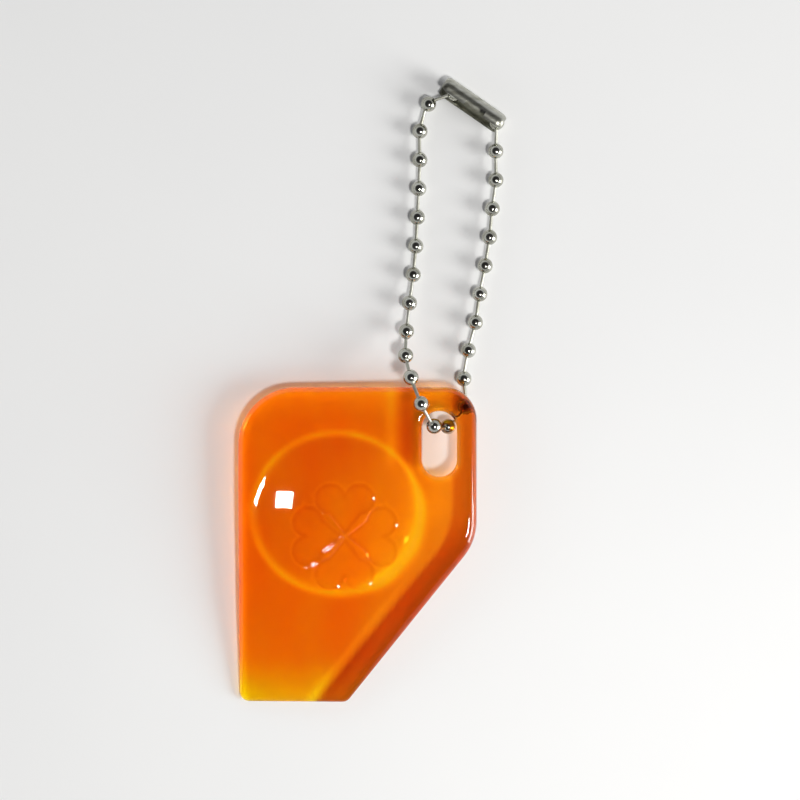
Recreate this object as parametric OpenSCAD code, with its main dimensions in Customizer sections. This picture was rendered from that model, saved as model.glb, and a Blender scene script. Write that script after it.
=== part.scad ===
// Wedge-tip hand tag on a ball chain, lying on a flat surface as a loop.
// The tag leans on its left edge and on the one bead that passes under it.

/* [Tag] */
// Width across the square shoulders
tag_w = 36.9; // [34:0.1:40]
// Height from the tip edge to the top edge
tag_h = 48.8; // [46:0.1:52]
// Width of the straight tip edge
tip_w = 16.7; // [12:0.1:20]
// Height at which the right side turns in towards the tip
knee_h = 25.1; // [20:0.1:30]
// Thickness of the flat upper part
tag_t = 3.8; // [3.4:0.1:4.4]
// Thickness where the tip bevel starts
bevel_t = 2.9; // [2.2:0.1:3.2]
// Thickness of the tip edge
tip_t = 0.9; // [0.6:0.1:1.4]
// Height of the tip bevel
bevel_h = 15; // [10:0.5:18]

/* [Thumb dish] */
// Radius of the dish across its rim
dish_r = 13.2; // [12:0.1:13.5]
// Depth of the dish
dish_depth = 2.4; // [1.5:0.1:2.5]
// Height of the clover relief above the dish floor
relief_h = 0.25; // [0.1:0.05:0.4]
// Distance from the centre of the clover to a leaf's tip
clover_r = 8; // [5:0.5:8]

/* [Slot] */
// Width of the chain slot
slot_w = 5.4; // [4.8:0.1:5.8]
// Length of the chain slot
slot_l = 10.1; // [9:0.1:11]
// Chamfer round both mouths of the slot
slot_chamfer = 0.6; // [0.3:0.1:0.8]

/* [Ball chain] */
// Wall of a bead
bead_wall = 0.18; // [0.15:0.01:0.2]
// Diameter of the two holes in a bead
hole_d = 1.1; // [1.06:0.01:1.1]
// Diameter of a link's wire
pin_d = 0.5; // [0.4:0.05:0.5]
// Diameter of the heads of a link
head_d = 1.16; // [1.14:0.01:1.17]

/* [Coupling] */
// Outer diameter of the rolled sleeve
sleeve_d = 3.3; // [3.2:0.05:3.4]
// Thickness of the sleeve's sheet
sheet_t = 0.25; // [0.2:0.01:0.25]
// Width of the sleeve's mouth, narrower than a bead
mouth_w = 2.3; // [2.1:0.05:2.35]
// Width of the window in the middle, where a bead is pushed in
window_w = 2.7; // [2.5:0.05:2.8]

/* [Hidden] */
$fn = 48;

bead_d = 2.4;                       // the standard chain, whose pitch sets the
link_l = 3.18;                      // whole route, so neither size is a slider

// --- places on the surface, in a frame with the tag's left edge near x = 0 ---
TAG_X = 0.4;
TAG_LEAN = 4.1;                     // the right side is lifted by this angle
CENTRE = [20.957, 48.386];          // middle of the whole object's footprint
SLOT_AT = [31.2, 40.05];            // centre of the slot, in the tag's frame
DISH_AT = [15.6, 28.2];             // centre of the dish, in the tag's frame
CLOVER_AT = [16.5, 25.7];           // centre of the clover, lower in the dish
TURN_BEAD = [32.7, 42.7, 2.63];     // the bead that turns back inside the slot

// Each link's heading on the surface and its rise, in degrees, from the turn
// bead: up over the tag to the left end of the coupling, and under the tag to
// the right end.
LEFT_RUN = [[179, 63], [119, 23], [111, -10], [104, -41], [87, -33],
            [84, -6], [82, -5], [85, -1], [87, 0], [87, 0],
            [88, 0], [91, 0], [75, 2], [18, 4]];
RIGHT_RUN = [[45, -16], [99, 1], [80, 1], [75, 0], [82, 0], [79, 0],
             [81, 0], [85, 0], [82, 0], [91, 2], [88, 4]];

LEFTS = len(LEFT_RUN);
RIGHTS = len(RIGHT_RUN);
LINKS = LEFTS + RIGHTS;
BEADS = LINKS + 1;
TURN = LEFTS;                       // number of the turn bead

bead_r = bead_d / 2;
inner_r = bead_r - bead_wall;
hole_r = hole_d / 2;
head_r = head_d / 2;
// A taut head sits just off the inner edge of its hole, this far from the middle
seat = sqrt(inner_r * inner_r - hole_r * hole_r) - sqrt(head_r * head_r - hole_r * hole_r) - 0.03;

// --- chain geometry ---
function unit(v) = v / norm(v);
function heading(run) = [cos(run[1]) * cos(run[0]), cos(run[1]) * sin(run[0]), sin(run[1])];
// Directions along the whole chain, from the coupling's left end to its right end
STEPS = concat([for (i = [LEFTS - 1:-1:0]) -heading(LEFT_RUN[i])],
               [for (i = [0:RIGHTS - 1]) heading(RIGHT_RUN[i])]);
// A bead's two holes lie halfway between the links on its two sides
AXES = [for (i = [0:LINKS]) i == 0 ? STEPS[0] : i == LINKS ? STEPS[LINKS - 1]
    : unit(STEPS[i - 1] + STEPS[i])];
function stride(i) = seat * AXES[i] + link_l * STEPS[i] + seat * AXES[i + 1];
function at(i) = i == TURN ? TURN_BEAD
    : i > TURN ? at(i - 1) + stride(i - 1) : at(i + 1) - stride(i);

FIRST = at(0);
LAST = at(LINKS);
SLEEVE = unit(LAST - FIRST);
sleeve_r = sleeve_d / 2;
SLEEVE_TAIL = 2.2;                  // sleeve beyond the left bead
SLEEVE_NOSE = 0.9;                  // sleeve beyond the right bead
MOUTH_TILT = 20;                    // the mouth looks sideways and up by this angle
WINDOW_TILT = 45;                   // and its window higher still
WINDOW_END = 2.2;                   // from an end bead's centre to the window

// --- tag outline ---
CORNERS = [[0, 0, 1.5], [tip_w, 0, 1.5], [tag_w, knee_h, 9], [tag_w, tag_h, 5], [0, tag_h, 9]];
ARC_STEPS = 12;

function corner(i) = CORNERS[(i + len(CORNERS)) % len(CORNERS)];
function flat(p) = [p[0], p[1]];
function back(i) = unit(flat(corner(i - 1)) - flat(corner(i)));
function ahead(i) = unit(flat(corner(i + 1)) - flat(corner(i)));
function half_angle(i) = acos(back(i) * ahead(i)) / 2;
function round_centre(i) = flat(corner(i))
    + unit(back(i) + ahead(i)) * corner(i)[2] / sin(half_angle(i));
function arc_start(i) = flat(corner(i)) + back(i) * corner(i)[2] / tan(half_angle(i))
    - round_centre(i);
function arc_point(i, k) = let (
        a = atan2(arc_start(i)[1], arc_start(i)[0]) + (180 - 2 * half_angle(i)) * k / ARC_STEPS)
    round_centre(i) + corner(i)[2] * [cos(a), sin(a)];
OUTLINE = [for (i = [0:len(CORNERS) - 1], k = [0:ARC_STEPS]) arc_point(i, k)];

// The side view: a steep bevel at the tip, then a shallow one up to full thickness
FULL_H = 2 * bevel_h;
PROFILE = [[0, 0], [tag_h, 0], [tag_h, tag_t], [FULL_H, tag_t], [bevel_h, bevel_t], [0, tip_t]];

module tag_blank() {
    intersection() {
        linear_extrude(tag_t) polygon(OUTLINE);
        rotate([90, 0, 90]) linear_extrude(tag_w) polygon(PROFILE);
    }
}

dish_sphere_r = (dish_r * dish_r + dish_depth * dish_depth) / (2 * dish_depth);
DISH_TOP = bevel_t + (tag_t - bevel_t) * (min(DISH_AT[1], FULL_H) - bevel_h) / (FULL_H - bevel_h);
module dish_sphere(grow = 0) {
    translate([DISH_AT[0], DISH_AT[1], DISH_TOP - dish_depth + dish_sphere_r])
        sphere(r = dish_sphere_r + grow, $fn = 96);
}

// One heart-shaped leaf: two round lobes on a point at the clover's centre
module leaf() {
    lobe = clover_r * 0.27;
    polygon([[0, clover_r * 0.1], [clover_r * 0.47, clover_r * 0.62],
             [0, clover_r * 0.78], [-clover_r * 0.47, clover_r * 0.62]]);
    for (side = [-1, 1]) translate([side * lobe, clover_r * 0.7]) circle(lobe);
}

module clover() {
    intersection() {
        translate([CLOVER_AT[0], CLOVER_AT[1], 0])
            linear_extrude(tag_t) for (turn = [0:90:270]) rotate(turn) leaf();
        difference() {
            dish_sphere(0.3);
            dish_sphere(-relief_h);
        }
    }
}

module slot_prism(r, h) {
    run = (slot_l - slot_w) / 2;
    for (end = [-1, 1]) translate([0, end * run, 0]) cylinder(r = r, h = h);
    translate([-r, -run, 0]) cube([2 * r, 2 * run, h]);
}

module slot() {
    translate([SLOT_AT[0], SLOT_AT[1], -1]) slot_prism(slot_w / 2, tag_t + 2);
    run = (slot_l - slot_w) / 2;
    for (mouth = [[tag_t, 0], [0, 180]])
        translate([SLOT_AT[0], SLOT_AT[1], mouth[0]]) rotate([mouth[1], 0, 0]) {
            for (end = [-1, 1]) translate([0, end * run, -slot_chamfer])
                cylinder(r1 = slot_w / 2, r2 = slot_w / 2 + 2 * slot_chamfer, h = 2 * slot_chamfer);
            rotate([90, 0, 0]) linear_extrude(2 * run, center = true)
                polygon([[-slot_w / 2, -slot_chamfer], [slot_w / 2, -slot_chamfer],
                         [slot_w / 2 + 2 * slot_chamfer, slot_chamfer],
                         [-slot_w / 2 - 2 * slot_chamfer, slot_chamfer]]);
        }
}

// Puts what is drawn on the surface under the common origin
module placed() {
    translate([-CENTRE[0], -CENTRE[1], 0]) children();
}

module tag_body() {
    color("darkorange") placed() translate([TAG_X, 0, 0]) rotate([0, -TAG_LEAN, 0]) {
        difference() {
            tag_blank();
            dish_sphere();
            slot();
        }
        clover();
    }
}

// Turns +Z to point along a direction
module aim(v) {
    rotate([0, acos(v[2] / norm(v)), atan2(v[1], v[0])]) children();
}

module bead(i) {
    color("silver") placed() translate(at(i)) aim(AXES[i]) difference() {
        sphere(bead_r);
        sphere(inner_r);
        cylinder(r = hole_r, h = 2 * bead_d, center = true);
    }
}

module chain_link(i) {
    color("silver") placed() translate(at(i) + seat * AXES[i]) aim(STEPS[i]) {
        sphere(head_r);
        cylinder(d = pin_d, h = link_l);
        translate([0, 0, link_l]) sphere(head_r);
    }
}

// A rolled C-shaped sleeve: its pinched ends hold the two end beads, and the
// window in the middle lets them in
module coupling_sleeve() {
    span = norm(LAST - FIRST);
    low = -SLEEVE_TAIL;
    high = span + SLEEVE_NOSE;
    pinch = SLEEVE_NOSE;            // from the centre of an end bead to the sleeve's end
    color("silver") placed() translate(FIRST) aim(SLEEVE) difference() {
        sleeve_form(sleeve_r, low, high, pinch);
        sleeve_form(sleeve_r - sheet_t, low, high, pinch);
        rotate(-MOUTH_TILT) translate([-mouth_w / 2, -sleeve_d, low - 1])
            cube([mouth_w, sleeve_d, high - low + 2]);
        rotate(-WINDOW_TILT) translate([-window_w / 2, -sleeve_d, WINDOW_END])
            cube([window_w, sleeve_d, span - 2 * WINDOW_END]);
    }
}

// A round bar whose ends are spheres cut off flat
module sleeve_form(r, low, high, pinch) {
    intersection() {
        union() {
            translate([0, 0, low + pinch]) sphere(r);
            translate([0, 0, low + pinch]) cylinder(r = r, h = high - low - 2 * pinch);
            translate([0, 0, high - pinch]) sphere(r);
        }
        translate([-sleeve_d, -sleeve_d, low]) cube([2 * sleeve_d, 2 * sleeve_d, high - low]);
    }
}

tag_body();
for (i = [1:BEADS]) bead(i - 1);
for (i = [1:LINKS]) chain_link(i - 1);
coupling_sleeve();
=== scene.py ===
"""Wedge-tip orange hand tag on a nickel ball chain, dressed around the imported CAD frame."""

import math

import bpy
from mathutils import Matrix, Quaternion, Vector
from mathutils.geometry import delaunay_2d_cdt


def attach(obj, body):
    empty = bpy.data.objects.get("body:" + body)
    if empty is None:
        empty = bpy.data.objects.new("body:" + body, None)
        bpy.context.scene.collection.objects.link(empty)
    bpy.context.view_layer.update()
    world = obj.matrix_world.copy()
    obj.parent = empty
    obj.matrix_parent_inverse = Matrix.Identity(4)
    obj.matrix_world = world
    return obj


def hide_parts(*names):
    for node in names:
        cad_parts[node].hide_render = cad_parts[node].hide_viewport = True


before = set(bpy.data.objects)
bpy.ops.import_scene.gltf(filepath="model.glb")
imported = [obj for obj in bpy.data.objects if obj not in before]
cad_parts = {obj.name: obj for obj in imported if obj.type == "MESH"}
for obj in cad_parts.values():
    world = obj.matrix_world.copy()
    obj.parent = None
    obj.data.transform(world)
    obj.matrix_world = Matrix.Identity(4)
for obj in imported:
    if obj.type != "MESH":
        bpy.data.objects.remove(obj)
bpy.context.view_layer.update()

MM = 0.001

# Sizes of part.scad that the refined tag repeats, in millimetres. CENTRE is the shared
# frame's origin in part.scad's layout, and TAG_X the tag's left edge there.
CENTRE = (20.957, 48.386)
TAG_X = 0.4
TAG_LEAN = math.radians(4.1)
TAG_W, TAG_H = 36.9, 48.8
TAG_T, BEVEL_T, TIP_T, BEVEL_H = 3.8, 2.9, 0.9, 15.0
# Corner x, y and rounding radius, anticlockwise from the left end of the tip
CORNERS = ((0, 0, 1.5), (16.7, 0, 1.5), (TAG_W, 25.1, 9), (TAG_W, TAG_H, 5), (0, TAG_H, 9))
TIP_CORNER, KNEE_CORNER = 1, 2
DISH_AT, DISH_R, DISH_DEPTH = (15.6, 28.2), 13.2, 2.4
CLOVER_AT, CLOVER_R, RELIEF = (16.5, 25.7), 8.0, 0.22
SLOT_AT, SLOT_W, SLOT_L = (31.2, 40.05), 5.4, 10.1

EDGE_R = 1.3            # rounding of the upper edge
FOOT_R = 0.35           # rounding of the lower edge
RIM_R = 0.85            # rounding of both rims of the slot
ROUND_SHARE = 0.4       # most of the height under it that a rounding's drop may take
LOOP_STEP = 0.3         # spacing of points along a rounded edge
DISH_SPHERE_R = (DISH_R ** 2 + DISH_DEPTH ** 2) / (2 * DISH_DEPTH)
DISH_MARGIN = 2.5       # how far past the dish's rim its sphere is still looked at

# How far two surfaces of the top blend where they meet
BEVEL_BLEND, FACE_BLEND, DISH_BLEND = 0.1, 0.12, 0.45
RELIEF_EDGE = 0.32      # half the width of the step round the clover

# Rows of points across each rounded edge
EDGE_ROWS, FOOT_ROWS, RIM_ROWS, RIM_FOOT_ROWS = 8, 3, 6, 5
SLOT_ARC_STEPS, SLOT_SIDE_STEPS = 28, 12

# Spacing of the loose points: finest over the clover, coarse outside the dish
CLOVER_STEP, DISH_STEP, FACE_STEP = 0.17, 0.3, 0.5
CLOVER_ZONE, DISH_ZONE, ZONE_GAP = CLOVER_R + 3.3, 14, 0.1
EDGE_CLEARANCE = 0.12   # between a rounded edge and the nearest loose point


# ---------------------------------------------------------------- outline and heights
def unit(x, y):
    n = math.hypot(x, y)
    return x / n, y / n


def corner_arc(i):
    """Centre, radius, start angle and sweep of the rounding of corner i."""
    x, y, r = CORNERS[i]
    px, py, _ = CORNERS[i - 1]
    nx, ny, _ = CORNERS[(i + 1) % len(CORNERS)]
    bx, by = unit(px - x, py - y)
    ax, ay = unit(nx - x, ny - y)
    half = math.acos(ax * bx + ay * by) / 2
    mx, my = unit(ax + bx, ay + by)
    cx, cy = x + mx * r / math.sin(half), y + my * r / math.sin(half)
    sx, sy = x + bx * r / math.tan(half) - cx, y + by * r / math.tan(half) - cy
    return cx, cy, r, math.atan2(sy, sx), math.pi - 2 * half


def outline():
    """Points round the tag's outer wall, anticlockwise."""
    arcs = [corner_arc(i) for i in range(len(CORNERS))]
    points = []
    for i, (cx, cy, r, start, sweep) in enumerate(arcs):
        steps = max(4, round(r * sweep / LOOP_STEP))
        for k in range(steps + 1):
            a = start + sweep * k / steps
            points.append((cx + r * math.cos(a), cy + r * math.sin(a)))
        nx, ny, nr, next_start, _ = arcs[(i + 1) % len(arcs)]
        ex, ey = nx + nr * math.cos(next_start), ny + nr * math.sin(next_start)
        sx, sy = points[-1]
        steps = max(2, round(math.hypot(ex - sx, ey - sy) / (2 * LOOP_STEP)))
        for k in range(1, steps):
            points.append((sx + (ex - sx) * k / steps, sy + (ey - sy) * k / steps))
    return points


OUTER_WALL = outline()


def wall_loop(inset):
    """The outer wall's points moved inwards, the same number for every inset."""
    if inset == 0:
        return list(OUTER_WALL)
    moved = []
    for i, (x, y) in enumerate(OUTER_WALL):
        ax, ay = OUTER_WALL[i - 1]
        bx, by = OUTER_WALL[(i + 1) % len(OUTER_WALL)]
        tx, ty = unit(bx - ax, by - ay)
        moved.append((x - ty * inset, y + tx * inset))
    return moved


def slot_loop(grow):
    """Points round the slot, grown outwards, the same number for every growth."""
    r = SLOT_W / 2
    run = (SLOT_L - SLOT_W) / 2
    points = []
    for end in (1, -1):
        for k in range(SLOT_ARC_STEPS + 1):
            a = math.pi * k / SLOT_ARC_STEPS + (0 if end > 0 else math.pi)
            points.append((SLOT_AT[0] + (r + grow) * math.cos(a),
                           SLOT_AT[1] + end * run + (r + grow) * math.sin(a)))
        for k in range(1, SLOT_SIDE_STEPS):
            y = end * run * (1 - 2 * k / SLOT_SIDE_STEPS)
            points.append((SLOT_AT[0] - end * (r + grow), SLOT_AT[1] + y))
    return points


def smooth_min(a, b, k):
    """The smaller of two values, with the crease between them rounded over k."""
    h = max(k - abs(a - b), 0) / k
    return min(a, b) - h * h * k / 4


def smooth_step(a, b, x):
    """From 0 at a to 1 at b, with a soft start and end. a may be above b."""
    t = min(1, max(0, (x - a) / (b - a)))
    return t * t * (3 - 2 * t)


def leaf_distance(x, y):
    """Signed distance, below zero inside, to the heart-shaped leaf that points up."""
    lobe = CLOVER_R * 0.28
    lobes = min(math.hypot(x - s * lobe, y - CLOVER_R * 0.72) - lobe * 1.05 for s in (-1, 1))
    # the tapering part down to the clover's middle
    ax, ay = unit(CLOVER_R * 0.5, CLOVER_R * 0.62)
    side = abs(x) * ay - (y - CLOVER_R * 0.04) * ax
    wedge = max(side, y - CLOVER_R * 0.78, -y)
    return min(lobes, wedge)


def clover(x, y):
    """Signed distance to the four leaves round CLOVER_AT, below zero inside."""
    x, y = x - CLOVER_AT[0], y - CLOVER_AT[1]
    turned = ((x, y), (y, -x), (-x, -y), (-y, x))
    return min(leaf_distance(*p) for p in turned)


def dish_distance(x, y):
    return math.hypot(x - DISH_AT[0], y - DISH_AT[1])


def top_height(x, y):
    """Height of the top: bevelled tip, slope up to the flat, then the dish and clover."""
    bevel = TIP_T + (BEVEL_T - TIP_T) * y / BEVEL_H
    slope = BEVEL_T + (TAG_T - BEVEL_T) * (y - BEVEL_H) / BEVEL_H
    z = smooth_min(smooth_min(bevel, slope, BEVEL_BLEND), TAG_T, FACE_BLEND)
    flat = dish_distance(x, y)
    if flat < DISH_R + DISH_MARGIN:
        rim = BEVEL_T + (TAG_T - BEVEL_T) * (DISH_AT[1] - BEVEL_H) / BEVEL_H
        bowl = rim - DISH_DEPTH + DISH_SPHERE_R - math.sqrt(DISH_SPHERE_R ** 2 - flat ** 2)
        z = smooth_min(z, bowl, DISH_BLEND)
        z += RELIEF * smooth_step(RELIEF_EDGE, -RELIEF_EDGE, clover(x, y))
    return z


# ---------------------------------------------------------------- the tag's dye and painted light
# The moulding's colour is paler in the thin tip. On top of it is painted shade, deeper
# where the outer side walls keep light out and left of the slot, and painted light in
# a bright ring round the dish's rim and in pale lines, bands and patches. A tone of 1
# is the plain body, and all three colours rise with it.
TIP_GREEN, BODY_GREEN = 0.76, 0.47
PAINTED_RING_AT, PAINTED_RING_REACH = (15.4, 29.3), (13.2, 12.5)      # the painted ring of light round the dish is an ellipse


def bell(x, middle, width):
    """1 at the middle, falling smoothly to 0 within about two widths."""
    return math.exp(-((x - middle) / width) ** 2)


def side_distance(x, y):
    """Distance inwards from the right side and from the slanted side."""
    tip, knee = CORNERS[TIP_CORNER], CORNERS[KNEE_CORNER]
    ux, uy = unit(knee[0] - tip[0], knee[1] - tip[1])
    slanted = (y - tip[1]) * ux - (x - tip[0]) * uy
    return smooth_min(slanted, TAG_W - x, 3.0)


def slot_distance(x, y):
    """Distance from the slot's edge, below zero inside the slot."""
    past = max(abs(y - SLOT_AT[1]) - (SLOT_L - SLOT_W) / 2, 0)
    return math.hypot(x - SLOT_AT[0], past) - SLOT_W / 2


def dye_and_painted_light(x, y):
    """Linear red, green and blue of the plastic at a point of the tag's plan, with painted light and
    shade.
    """
    side = side_distance(x, y)
    # painted shade: the dark strip along the right and slanted sides, where the walls keep light out,
    # and a painted bright line along its inner edge
    tone = 1 - (0.27 + 0.18 * smooth_step(31, 22, y)) * smooth_step(4.0, 3.3, side)
    tone += 0.16 * bell(side, 4.7, 0.5) * smooth_step(24, 14, y)
    # painted shade: the dark strip left of the slot, the shadow of the slot's wall, and painted light
    # in the pale strip beside it
    tone -= 0.29 * bell(x, 26.3, 1.3) * smooth_step(35, 39, y)
    tone += 0.2 * bell(x, 23.8, 0.9) * smooth_step(35, 39, y)
    # painted light: the bright ring that the dish's rim throws, wider and brighter at its lower right
    dx, dy = (x - PAINTED_RING_AT[0]) / PAINTED_RING_REACH[0], (y - PAINTED_RING_AT[1]) / PAINTED_RING_REACH[1]
    reach = math.hypot(dx, dy)
    towards = math.atan2(dy, dx)
    low_right = bell(towards, math.radians(-35), 0.8)
    uneven = 1 + 0.16 * math.sin(5 * towards + 1) + 0.14 * math.sin(11 * towards)
    ring = (0.42 + 0.22 * low_right) * uneven
    tone += ring * bell(reach, 1.0 - 0.02 * low_right, 0.032 + 0.05 * low_right)
    # painted light on the dish's floor, paler towards its lower right
    if reach < 1:
        tone *= 0.97 + 0.14 * smooth_step(-0.6, 0.9, 0.8 * dx - 0.6 * dy)
    # painted light in a pale patch below the slot
    tone += 0.12 * bell(x, 30.5, 2.4) * bell(y, 31, 4.5)
    # painted highlights: the pale lines along the left and top edges and round the slot
    tone += 0.3 * bell(x, 0.8, 0.45) + 0.22 * bell(TAG_H - y, 0.9, 0.4)
    tone += 0.34 * bell(slot_distance(x, y), 0.35, 0.45)
    # painted light in a paler band along the top, and a painted highlight just outside the clover's
    # outline with painted shade just inside it
    tone += 0.13 * smooth_step(42, 47, y) * smooth_step(4.0, 5.5, side)
    edge = clover(x, y)
    tone += 0.07 * bell(edge, 0.25, 0.2) - 0.09 * bell(edge, -0.2, 0.25)

    red = 0.935 * min(1.06, 0.62 + 0.38 * tone)
    green = BODY_GREEN + (TIP_GREEN - BODY_GREEN) * smooth_step(8, 0, y)
    return red ** 2, min(1, green * max(tone, 0.2) ** 2), 0.022 * max(tone, 0.3) ** 2


# ---------------------------------------------------------------- the tag's mesh
def inside(points, x, y):
    """Whether a point is inside a closed loop."""
    hit = False
    for i, (bx, by) in enumerate(points):
        ax, ay = points[i - 1]
        if (ay > y) != (by > y) and x < (bx - ax) * (y - ay) / (by - ay) + ax:
            hit = not hit
    return hit


def to_shared(x, y, z):
    """From the tag's own frame, in mm, to the shared frame, in metres."""
    c, s = math.cos(TAG_LEAN), math.sin(TAG_LEAN)
    return ((TAG_X + x * c - z * s - CENTRE[0]) * MM, (y - CENTRE[1]) * MM, (x * s + z * c) * MM)


def grid(step, keep):
    """Staggered points over the tag, those that keep() accepts."""
    out = []
    for i in range(1, int(TAG_W / step)):
        for j in range(1, int(TAG_H / step)):
            x, y = i * step + (j % 2) * step / 2, j * step
            if keep(x, y):
                out.append((x, y))
    return out


def sheet(edge_loops, rim_loops, fill, height):
    """One face of the tag: nested loops and loose points, joined into triangles."""
    flat, lift = [], []
    edges = []
    for loops in (edge_loops, rim_loops):
        for n, (points, drop) in enumerate(loops):
            first = len(flat)
            flat += points
            lift += [height(x, y) + drop(x, y) for x, y in points]
            if n == 0:
                edges += [(first + k, first + (k + 1) % len(points)) for k in range(len(points))]
    flat += fill
    lift += [height(x, y) for x, y in fill]
    _, _, faces, source, _, _ = delaunay_2d_cdt([Vector(p) for p in flat], edges, [], 0, 1e-7)
    index = [s[0] for s in source]
    outer, hole = edge_loops[0][0], rim_loops[0][0]
    kept = []
    for f in faces:
        f = [index[v] for v in f]
        x = sum(flat[v][0] for v in f) / 3
        y = sum(flat[v][1] for v in f) / 3
        if inside(outer, x, y) and not inside(hole, x, y):
            kept.append(f)
    return flat, lift, kept


def rounded(loop, radius, sign, steps, height):
    """Loops of a quarter-round edge, from the wall to the face. sign is -1 underneath."""
    loops = []
    for k in range(steps + 1):
        a = math.pi / 2 * k / steps

        def drop(x, y, a=a):
            r = min(radius, ROUND_SHARE * height(x, y))
            return -sign * r * (1 - math.sin(a))
        loops.append((loop(radius * (1 - math.cos(a))), drop))
    return loops


def flat_height(x, y):
    return 0.0


def tag_mesh():
    """Vertices, faces and point colours, with painted light and shade, of the whole moulding."""
    clear_edge = wall_loop(EDGE_R + EDGE_CLEARANCE)
    clear_rim = slot_loop(RIM_R + EDGE_CLEARANCE)

    def open_area(x, y):
        return inside(clear_edge, x, y) and not inside(clear_rim, x, y)

    fill = grid(CLOVER_STEP, lambda x, y: dish_distance(x, y) < CLOVER_ZONE)
    fill += grid(DISH_STEP, lambda x, y: (CLOVER_ZONE + ZONE_GAP < dish_distance(x, y) < DISH_ZONE
                                          and open_area(x, y)))
    fill += grid(FACE_STEP, lambda x, y: (dish_distance(x, y) >= DISH_ZONE + ZONE_GAP
                                          and open_area(x, y)))
    top = sheet(rounded(wall_loop, EDGE_R, 1, EDGE_ROWS, top_height),
                rounded(slot_loop, RIM_R, 1, RIM_ROWS, top_height), fill, top_height)
    # underneath, the height only limits the drop, to 0.4 mm outside and 0.8 mm in the slot
    bottom = sheet(rounded(wall_loop, FOOT_R, -1, FOOT_ROWS, lambda x, y: 1),
                   rounded(slot_loop, RIM_R, -1, RIM_FOOT_ROWS, lambda x, y: 2),
                   grid(FACE_STEP, open_area), flat_height)
    verts = [to_shared(x, y, z) for plan, lift, _ in (top, bottom) for (x, y), z in zip(plan, lift)]
    # point colours: the plastic's dye with painted light and shade
    colours = [dye_and_painted_light(x, y) for plan, _, _ in (top, bottom) for x, y in plan]

    base = len(top[0])
    faces = [tuple(f) for f in top[2]]
    faces += [tuple(base + v for v in reversed(f)) for f in bottom[2]]
    around = len(OUTER_WALL)
    faces += walls(around, 0, base, False)
    faces += walls(len(slot_loop(0)), around * (EDGE_ROWS + 1),
                   base + around * (FOOT_ROWS + 1), True)
    return verts, faces, colours


def walls(count, upper, lower, inward):
    """Quads between the first loop of the top face and that of the bottom face."""
    faces = []
    for k in range(count):
        n = (k + 1) % count
        quad = (upper + k, lower + k, lower + n, upper + n)
        faces.append(tuple(reversed(quad)) if inward else quad)
    return faces


def mesh_object(name, verts, faces, material):
    mesh = bpy.data.meshes.new(name)
    mesh.from_pydata(verts, [], faces)
    mesh.validate()
    mesh.polygons.foreach_set("use_smooth", [True] * len(mesh.polygons))
    mesh.update()
    obj = bpy.data.objects.new(name, mesh)
    bpy.context.scene.collection.objects.link(obj)
    obj.data.materials.append(material)
    return obj


# ---------------------------------------------------------------- materials
def new_material(name):
    material = bpy.data.materials.new(name)
    material.use_nodes = True
    nodes = material.node_tree.nodes
    return material, nodes, material.node_tree.links, nodes["Principled BSDF"]


def noise(nodes, links, scale, detail, stretch=None):
    coords = nodes.new("ShaderNodeTexCoord")
    tex = nodes.new("ShaderNodeTexNoise")
    tex.inputs["Scale"].default_value = scale
    tex.inputs["Detail"].default_value = detail
    if stretch:
        spread = nodes.new("ShaderNodeMapping")
        spread.inputs["Scale"].default_value = stretch
        links.new(coords.outputs["Object"], spread.inputs["Vector"])
        links.new(spread.outputs["Vector"], tex.inputs["Vector"])
    else:
        links.new(coords.outputs["Object"], tex.inputs["Vector"])
    return tex.outputs["Fac"]


def ramp(nodes, links, source, stops):
    """A colour ramp through (position, colour) stops."""
    node = nodes.new("ShaderNodeValToRGB")
    elements = node.color_ramp.elements
    while len(elements) < len(stops):
        elements.new(0.5)
    for element, (at, colour) in zip(elements, stops):
        element.position = at
        element.color = (*colour, 1)
    links.new(source, node.inputs["Fac"])
    return node.outputs["Color"]


def spread_value(nodes, links, source, low, high):
    """A value from 0 to 1 stretched to the range from low to high."""
    node = nodes.new("ShaderNodeMapRange")
    node.inputs["To Min"].default_value = low
    node.inputs["To Max"].default_value = high
    links.new(source, node.inputs["Value"])
    return node.outputs["Result"]


def bump(nodes, links, source, strength, distance, target):
    node = nodes.new("ShaderNodeBump")
    node.inputs["Strength"].default_value = strength
    node.inputs["Distance"].default_value = distance
    links.new(source, node.inputs["Height"])
    links.new(node.outputs["Normal"], target)


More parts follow.
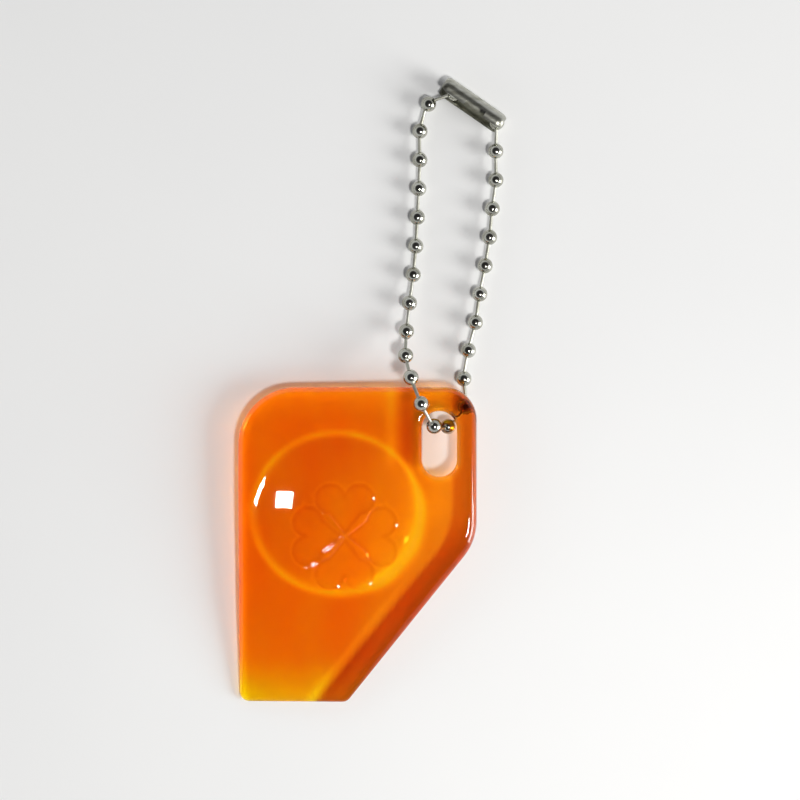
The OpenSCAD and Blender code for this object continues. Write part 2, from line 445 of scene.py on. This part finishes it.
def orange_plastic():
    """Clear dyed plastic: tinted by its body and by point colours with painted light and shade, and
    lamps shine through it.
    """
    material, nodes, links, shader = new_material("orange_plastic")
    # the point colours hold the plastic's dye with painted light and shade
    dye_and_light_node = nodes.new("ShaderNodeVertexColor")
    dye_and_light_node.layer_name = "dye_and_painted_light"
    flow = noise(nodes, links, 140, 3, (1.0, 0.35, 1.0))
    tint = nodes.new("ShaderNodeMix")
    tint.data_type = "RGBA"
    tint.blend_type = "MULTIPLY"
    tint.inputs["Factor"].default_value = 1.0
    links.new(dye_and_light_node.outputs["Color"], tint.inputs["A"])
    links.new(ramp(nodes, links, flow, [(0.35, (1.0, 0.82, 0.75)), (0.65, (1.0, 1.04, 1.0))]),
              tint.inputs["B"])
    links.new(tint.outputs["Result"], shader.inputs["Base Color"])
    shader.inputs["Transmission Weight"].default_value = 1.0
    shader.inputs["IOR"].default_value = 1.53
    shader.inputs["Specular IOR Level"].default_value = 0.13
    smear = noise(nodes, links, 220, 2)
    links.new(spread_value(nodes, links, smear, 0.015, 0.05), shader.inputs["Roughness"])
    bump(nodes, links, noise(nodes, links, 130, 2), 0.25, 0.00005, shader.inputs["Normal"])
    # Light on its way to the ground passes straight through, and is coloured twice
    lamp = nodes.new("ShaderNodeBsdfTransparent")
    lamp.inputs["Color"].default_value = (0.49, 0.28, 0.10, 1)
    path = nodes.new("ShaderNodeLightPath")
    mix = nodes.new("ShaderNodeMixShader")
    links.new(path.outputs["Is Shadow Ray"], mix.inputs["Fac"])
    links.new(shader.outputs["BSDF"], mix.inputs[1])
    links.new(lamp.outputs["BSDF"], mix.inputs[2])
    links.new(mix.outputs["Shader"], nodes["Material Output"].inputs["Surface"])
    absorb = nodes.new("ShaderNodeVolumeAbsorption")
    absorb.inputs["Color"].default_value = (0.96, 0.50, 0.10, 1)
    absorb.inputs["Density"].default_value = 120
    links.new(absorb.outputs["Volume"], nodes["Material Output"].inputs["Volume"])
    return material


def nickel(name, low, high, stretch=None):
    """Plated metal, stained and rubbed, with a roughness between low and high."""
    material, nodes, links, shader = new_material(name)
    shader.inputs["Metallic"].default_value = 1.0
    stain = noise(nodes, links, 420, 4, stretch)
    colour = ramp(nodes, links, stain,
                  [(0.3, (0.33, 0.325, 0.27)), (0.55, (0.51, 0.51, 0.45)), (0.8, (0.62, 0.62, 0.57))])
    links.new(colour, shader.inputs["Base Color"])
    rub = noise(nodes, links, 900, 3, stretch)
    links.new(spread_value(nodes, links, rub, low, high), shader.inputs["Roughness"])
    bump(nodes, links, noise(nodes, links, 1500, 2, stretch), 0.2, 0.00002, shader.inputs["Normal"])
    return material


def table_top():
    material, nodes, links, shader = new_material("table_top")
    tone = noise(nodes, links, 9, 4)
    links.new(ramp(nodes, links, tone, [(0.3, (0.845, 0.845, 0.845)), (0.7, (0.885, 0.885, 0.88))]),
              shader.inputs["Base Color"])
    shader.inputs["Roughness"].default_value = 0.45
    return material


# ---------------------------------------------------------------- scene
def dress_chain():
    looks = {"bead": nickel("nickel_bead", 0.10, 0.24),
             "link": nickel("nickel_wire", 0.38, 0.52),
             "coupling": nickel("nickel_sheet", 0.24, 0.40, (1.0, 4.0, 1.0))}
    for name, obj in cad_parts.items():
        if name == "tag_body":
            continue
        for place in obj.material_slots:
            place.material = looks[name.split("_")[0]]


def build_tag():
    verts, faces, colours = tag_mesh()
    tag = mesh_object("tag_moulding", verts, faces, orange_plastic())
    # point colours holding the dye and its painted light and shade
    layer = tag.data.color_attributes.new("dye_and_painted_light", "FLOAT_COLOR", "POINT")
    layer.data.foreach_set("color", [c for colour in colours for c in (*colour, 1.0)])
    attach(tag, "tag")
    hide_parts("tag_body")


def build_floor():
    half = 1.5                      # half of the floor's side
    corners = [(-half, -half, 0), (half, -half, 0), (half, half, 0), (-half, half, 0)]
    floor = mesh_object("floor", corners, [(0, 1, 2, 3)], table_top())


def area_light(name, place, size, watts, colour, roll=0):
    """A square lamp aimed at the origin, turned about its beam by roll."""
    data = bpy.data.lights.new(name, "AREA")
    data.shape = "SQUARE"
    data.size = size
    data.energy = watts
    data.color = colour
    light = bpy.data.objects.new(name, data)
    light.location = place
    aim = (-Vector(place)).to_track_quat("-Z", "Y")
    light.rotation_euler = (aim @ Quaternion((0, 0, 1), roll)).to_euler()
    bpy.context.scene.collection.objects.link(light)


def build_lights():
    # The window's tilt from straight above, heading and roll put its reflection in
    # the dish upright. The sky fills in low from the right and a little below.
    distance, roll = 0.6, math.radians(40)
    tilt, heading = math.radians(19.5), math.radians(-44)
    place = (distance * math.sin(tilt) * math.cos(heading),
             distance * math.sin(tilt) * math.sin(heading), distance * math.cos(tilt))
    area_light("window", place, 0.075, 1.6, (1.0, 0.99, 0.97), roll)
    area_light("sky", (1.62, -0.52, 0.62), 0.9, 33, (1.0, 1.0, 0.985))
    build_room()


def build_room():
    """A soft room: dark overhead, bright walls lower down, dimmer towards the sky lamp."""
    world = bpy.data.worlds.new("studio")
    bpy.context.scene.world = world
    world.use_nodes = True
    nodes, links = world.node_tree.nodes, world.node_tree.links
    place = nodes.new("ShaderNodeTexCoord")
    split = nodes.new("ShaderNodeSeparateXYZ")
    links.new(place.outputs["Generated"], split.inputs["Vector"])
    room = ramp(nodes, links, split.outputs["Z"],
                [(0.0, (0.30, 0.30, 0.31)), (0.12, (0.93, 0.94, 0.97)), (0.46, (0.97, 0.98, 1.0)),
                 (0.62, (0.06, 0.06, 0.065)), (1.0, (0.03, 0.03, 0.033))])
    side = nodes.new("ShaderNodeVectorMath")
    side.operation = "DOT_PRODUCT"
    side.inputs[1].default_value = (0.92, -0.38, 0.0)
    links.new(place.outputs["Generated"], side.inputs[0])
    glow = nodes.new("ShaderNodeMapRange")
    glow.inputs["From Min"].default_value = -1
    glow.inputs["To Min"].default_value = 0.84
    glow.inputs["To Max"].default_value = 0.66
    links.new(side.outputs["Value"], glow.inputs["Value"])
    links.new(room, nodes["Background"].inputs["Color"])
    links.new(glow.outputs["Result"], nodes["Background"].inputs["Strength"])


def build_camera():
    """Straight above, with view_width metres across the picture at the tag's height."""
    view_width, height, look_z = 0.124, 0.42, 0.002
    middle = (0.00431, -0.00158)
    data = bpy.data.cameras.new("camera")
    data.sensor_width = 36
    data.lens = data.sensor_width * (height - look_z) / view_width
    data.clip_start, data.clip_end = 0.01, 20
    camera = bpy.data.objects.new("camera", data)
    camera.location = (*middle, height)
    bpy.context.scene.collection.objects.link(camera)
    bpy.context.scene.camera = camera


def colour_management():
    bpy.context.scene.view_settings.view_transform = "Standard"
    bpy.context.scene.view_settings.look = "None"


build_camera()
build_lights()
build_floor()
dress_chain()
build_tag()
colour_management()
